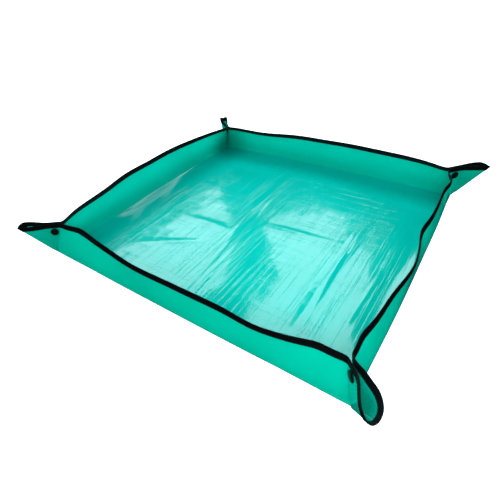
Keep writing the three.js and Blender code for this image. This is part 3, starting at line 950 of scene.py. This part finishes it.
def mottled(material, value, colours, ends=(0, 1)):
    """A colour between two, by a value."""
    tint = node(material, "ShaderNodeValToRGB", {"Fac": value})
    for element, colour, end in zip(tint.color_ramp.elements, colours, ends):
        element.position = end
        element.color = (*colour, 1)
    return tint.outputs["Color"]


def sheet_material(name, colours, line_height, has_painted_fold_shade):
    """Glossy coated cloth: soft swells, thin lines along both directions of the weave, an uneven gloss."""
    material, shader = new_material(name)
    place = uv_place(material, "flat_sheet")
    swell = noise_value(material, place, SWELL_NOISE)
    wear = ranged(material, pattern_value(material, fold_wear), (0, 1), LINES_BY_WEAR)
    warp = thin_lines(material, place, WARP_NOISE, WARP_SHARE)
    weft = thin_lines(material, place, WEFT_NOISE, WEFT_SHARE)
    lines = computed(material, "MULTIPLY_ADD", warp, wear, weft)
    weave = computed(material, "MULTIPLY", lines, pattern_value(material, weave_shows))
    soft = bumped(material, swell, SWELL_HEIGHT, SHEET_BUMP)
    fine = bumped(material, weave, line_height, SHEET_BUMP, Normal=soft)
    tint = mottled(material, noise_value(material, place, MOTTLE_NOISE), colours, NOISE_BODY)
    # painted shade along the folds of the left and the back wall, mixed towards black
    if has_painted_fold_shade:
        inputs = {"Factor": pattern_value(material, painted_fold_shade), "A": tint, "B": BLACK}
        tint = node(material, "ShaderNodeMix", inputs, data_type="RGBA").outputs["Result"]
    surface = {
        "Base Color": tint,
        "Roughness": ranged(material, swell, NOISE_BODY, SHEET_ROUGHNESS),
        "Specular IOR Level": 0.0,
        "Normal": fine,
        "Coat Weight": 1.0,
        "Coat Roughness": COAT_ROUGHNESS,
        "Coat Normal": fine,
        "Subsurface Weight": SHEET_GLOW,
        "Subsurface Radius": SHEET_GLOW_COLOURS,
        "Subsurface Scale": SHEET_GLOW_REACH,
    }
    feed(material, shader, surface)
    return material


def tape_material():
    """Black woven tape with a fine rib across its length."""
    material, shader = new_material("binding_tape")
    place = uv_place(material, "along_tape")
    surface = {
        "Base Color": mottled(material, noise_value(material, place, FUZZ_NOISE), TAPE_BLACK),
        "Roughness": TAPE_ROUGHNESS,
        "Specular IOR Level": TAPE_SHINE,
        "Normal": bumped(material, noise_value(material, place, RIB_NOISE), RIB_HEIGHT, TAPE_BUMP),
    }
    feed(material, shader, surface)
    return material


def grained_material(name, colours, noise, grain, roughness):
    """Thread or moulded plastic: an even colour with fine mottling and a fine surface texture."""
    material, shader = new_material(name)
    value = noise_value(material, object_place(material), noise)
    surface = {
        "Base Color": mottled(material, value, colours),
        "Roughness": roughness,
        "Normal": bumped(material, value, grain, GRAIN_BUMP),
    }
    feed(material, shader, surface)
    return material


def studio_floor_material():
    material, shader = new_material("studio_floor")
    tint = mottled(material, noise_value(material, object_place(material), STUDIO_NOISE), STUDIO_WHITE)
    surface = {
        "Base Color": tint,
        "Roughness": STUDIO_ROUGHNESS,
        "Specular IOR Level": 0.0,
        "Emission Color": tint,
        "Emission Strength": STUDIO_GLOW,
    }
    feed(material, shader, surface)
    return material


def make_sheets(patches):
    # One teal cloth as painted lit and shaded copies: greener outside, bluer on the floor
    outer = sheet_material("coated_sheet_outer", OUTER_TEAL, WALL_LINE_HEIGHT, False)
    inner = sheet_material("coated_sheet_inner", INNER_TEAL, WALL_LINE_HEIGHT, True)
    laid = sheet_material("coated_sheet_floor", FLOOR_TEAL, FLOOR_LINE_HEIGHT, True)
    tape = tape_material()
    thread = grained_material("binding_thread", THREAD_BLACK, THREAD_NOISE, THREAD_GRAIN, THREAD_ROUGHNESS)
    for patch in patches:
        piece = sheet_piece(patch, outer, laid if patch.body == "floor" else inner)
        trim = []
        if patch.body != "floor":
            base = patch.name.removesuffix("_sheet")
            trim.append(binding_piece(patch, f"{base}_tape", tape))
            trim.append(stitch_piece(patch, f"{base}_stitching", thread))
            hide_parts(f"{base}_binding")
        for made in [piece, *trim]:
            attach(made, patch.body)
            if patch.body != "floor":
                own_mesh(made)
        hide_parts(patch.node)


def make_snaps():
    plastic = grained_material(
        "press_stud_plastic", PLASTIC_BLACK, PLASTIC_NOISE, PLASTIC_GRAIN, PLASTIC_ROUGHNESS
    )
    profiles = {
        "stud": stud_profile(),
        "stud_cap": cap_profile(SNAP_SEAT - POST_REACH),
        "socket": socket_profile(),
        "socket_cap": cap_profile(SNAP_SEAT - SOCKET_WEB),
    }
    for i, (wall, heading, _) in enumerate(WALLS):
        for corner, is_mirrored, kinds in (
            (CORNERS[i][0], False, ("stud", "stud_cap")),
            (CORNERS[i - 1][0], True, ("socket", "socket_cap")),
        ):
            for kind in kinds:
                name = f"{corner}_{kind}_moulding"
                piece = turned_piece(name, profiles[kind], heading, is_mirrored, plastic)
                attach(piece, f"{corner}_ear_{wall}")
                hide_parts(f"{corner}_{kind}")


def looking(direction, roll=0.0):
    """The axes of something that looks back along a direction, as a turn."""
    back = unit(np.array(direction, float))
    right = unit(np.cross(UP, back))
    top = np.cross(back, right)
    c, s = np.cos(np.radians(roll)), np.sin(np.radians(roll))
    return Matrix(np.stack([c * right + s * top, c * top - s * right, back], 1).tolist())


def make_camera():
    azimuth, elevation = np.radians(CAMERA_AZIMUTH), np.radians(CAMERA_ELEVATION)
    level = np.array([np.sin(azimuth), -np.cos(azimuth), 0])
    back = np.cos(elevation) * level + np.sin(elevation) * UP
    camera = bpy.data.objects.new("camera", bpy.data.cameras.new("camera"))
    camera.data.sensor_width = CAMERA_SENSOR
    camera.data.lens = CAMERA_LENS
    camera.data.clip_start = CAMERA_NEAR * MM
    camera.data.shift_x, camera.data.shift_y = CAMERA_SHIFT
    place = (np.array(CAMERA_TARGET) + CAMERA_DISTANCE * back) * MM
    camera.matrix_world = Matrix.Translation(place.tolist()) @ looking(back, CAMERA_ROLL).to_4x4()
    bpy.context.scene.collection.objects.link(camera)
    bpy.context.scene.camera = camera


def make_windows():
    """Soft boxes in the shape of the window panes that the floor mirrors. The camera doesn't see them."""
    material, shader = new_material("window_light")
    surface = {
        "Base Color": BLACK,
        "Emission Color": (*COOL_LIGHT, 1),
        "Emission Strength": WINDOW_STRENGTH,
    }
    feed(material, shader, surface)
    compass = np.radians(WINDOW_COMPASS)
    away = np.array([np.sin(compass), np.cos(compass), 0])
    sideways = np.array([np.cos(compass), -np.sin(compass), 0])
    for name, corners in WINDOWS.items():
        points = [WINDOW_DISTANCE * away + across * sideways + height * UP for across, height in corners]
        window = new_object(name, np.array(points) / MM, [tuple(range(len(corners)))], [material])
        window.visible_camera = False


def studio_ground():
    """A round floor that sweeps up at its edge, so that no horizon shows."""
    radii = np.linspace(0, STUDIO_RADIUS, STUDIO_RINGS + 1)[1:]
    turns = np.arange(STUDIO_SIDES) * 2 * np.pi / STUDIO_SIDES
    points = [(0, 0, 0)]
    faces = []
    for radius in radii:
        level = SWEEP_STEEPNESS * max(0, radius - SWEEP_START) ** 2
        points += [(radius * np.cos(turn), radius * np.sin(turn), level) for turn in turns]
    for k in range(STUDIO_SIDES):
        after = (k + 1) % STUDIO_SIDES
        faces.append((0, 1 + k, 1 + after))
        for ring in range(STUDIO_RINGS - 1):
            inner = 1 + ring * STUDIO_SIDES
            outer = inner + STUDIO_SIDES
            faces.append((inner + k, outer + k, outer + after, inner + after))
    ground = new_object("studio_floor", np.array(points) / MM, faces, [studio_floor_material()])
    ground.visible_glossy = False
    ground.visible_diffuse = False


def make_lights():
    for name, (place, target, size, power) in LIGHTS.items():
        light = bpy.data.lights.new(name, "AREA")
        light.shape = "RECTANGLE"
        light.size, light.size_y = size
        light.energy = power
        light.color = COOL_LIGHT
        lamp = bpy.data.objects.new(name, light)
        lamp.matrix_world = Matrix.Translation(place) @ looking(np.subtract(place, target)).to_4x4()
        lamp.visible_glossy = False
        bpy.context.scene.collection.objects.link(lamp)


def make_studio():
    studio_ground()
    world = bpy.data.worlds.new("studio")
    world.use_nodes = True
    background = world.node_tree.nodes["Background"]
    background.inputs["Color"].default_value = (1, 1, 1, 1)
    background.inputs["Strength"].default_value = WORLD_STRENGTH
    world.cycles_visibility.glossy = False
    bpy.context.scene.world = world
    make_windows()
    make_lights()
    bpy.context.scene.view_settings.view_transform = "Standard"


sheet_patches = all_patches()
set_normals(sheet_patches)
make_sheets(sheet_patches)
make_snaps()
make_camera()
make_studio()
